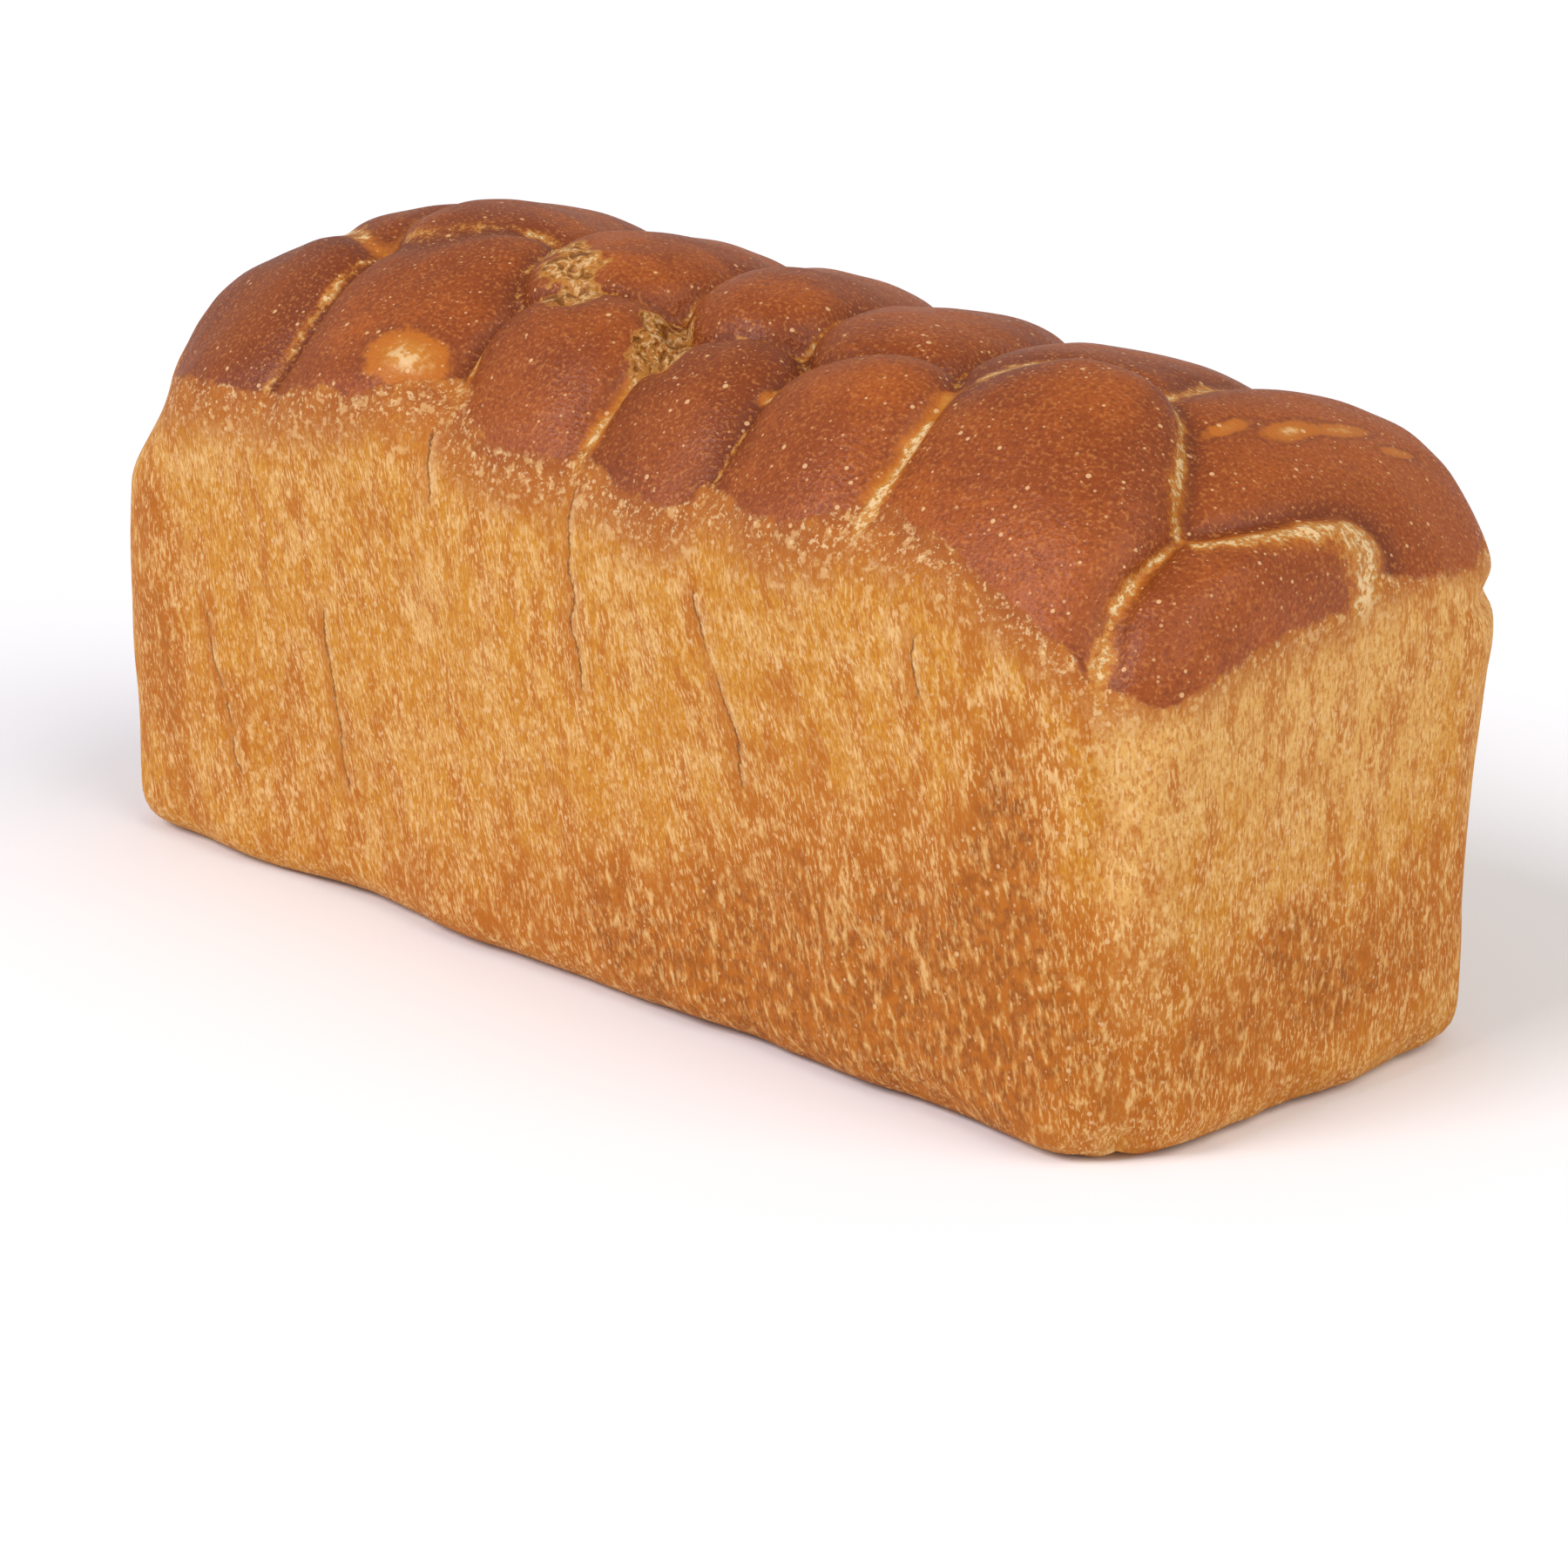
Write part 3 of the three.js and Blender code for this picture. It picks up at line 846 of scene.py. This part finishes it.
studio = {
    "floorSize": 20,
    "floor": "#fbfbfd",
    "room": ("#ffffff", 0.43),
    # soft lights: where each comes from, as degrees round from +X and degrees up, then its
    # spread in degrees, its strength in watts per square metre, and its colour
    "lights": {
        "frontWindow": (-100, 42, 26, 1.72, "#f8f7ff"),
        "lowWindow": (-128, 12, 14, 0.36, "#dfe3ff"),
        "endWindow": (5, 42, 50, 1.4, "#fffaf4"),
    },
}

camera = {
    "place": (0.6076, -0.5792, 0.2936),
    "azimuth": 46.034,
    "elevation": 17.558,
    "lensMm": 104,
    "sensorMm": 36,
}


def aimed(turn, up):
    # rotation of a lamp or a camera that looks down by so many degrees
    return Euler((math.radians(90 - up), 0, math.radians(turn)))


def setStudio():
    scene = bpy.context.scene
    scene.view_settings.view_transform = "Standard"
    world = bpy.data.worlds.new("studioRoom")
    world.use_nodes = True
    background = world.node_tree.nodes["Background"]
    background.inputs["Color"].default_value = linearColour(studio["room"][0])
    background.inputs["Strength"].default_value = studio["room"][1]
    scene.world = world

    half = studio["floorSize"] / 2
    floorMesh = bpy.data.meshes.new("floor")
    corners = [(-half, -half, 0), (half, -half, 0), (half, half, 0), (-half, half, 0)]
    floorMesh.from_pydata(corners, [], [(0, 1, 2, 3)])
    floor = bpy.data.objects.new("floor", floorMesh)
    scene.collection.objects.link(floor)
    # paper is flat and even, so only the loaf's soft shadow shows
    paper = bpy.data.materials.new("mattWhitePaperSweep")
    paper.use_nodes = True
    shader = paper.node_tree.nodes["Principled BSDF"]
    shader.inputs["Base Color"].default_value = linearColour(studio["floor"])
    shader.inputs["Roughness"].default_value = 0.95
    shader.inputs["Specular IOR Level"].default_value = 0.1
    floorMesh.materials.append(paper)

    for name, (roundFrom, up, spread, strength, tint) in studio["lights"].items():
        light = bpy.data.lights.new(name, "SUN")
        light.angle = math.radians(spread)
        light.energy = strength
        light.color = linearColour(tint)[:3]
        lamp = bpy.data.objects.new(name, light)
        lamp.rotation_euler = aimed(roundFrom + 90, up)
        scene.collection.objects.link(lamp)

    lens = bpy.data.cameras.new("studioCamera")
    lens.lens = camera["lensMm"]
    lens.sensor_width = camera["sensorMm"]
    lens.clip_start, lens.clip_end = 0.01, 50
    view = bpy.data.objects.new("studioCamera", lens)
    view.location = camera["place"]
    view.rotation_euler = aimed(camera["azimuth"], camera["elevation"])
    scene.collection.objects.link(view)
    scene.camera = view


loaf = buildCrust()
loaf.data.materials.append(bakeCrustMaterial())
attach(loaf, "root")
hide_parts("loaf")
print("loaf built")

setStudio()
print("studio set")
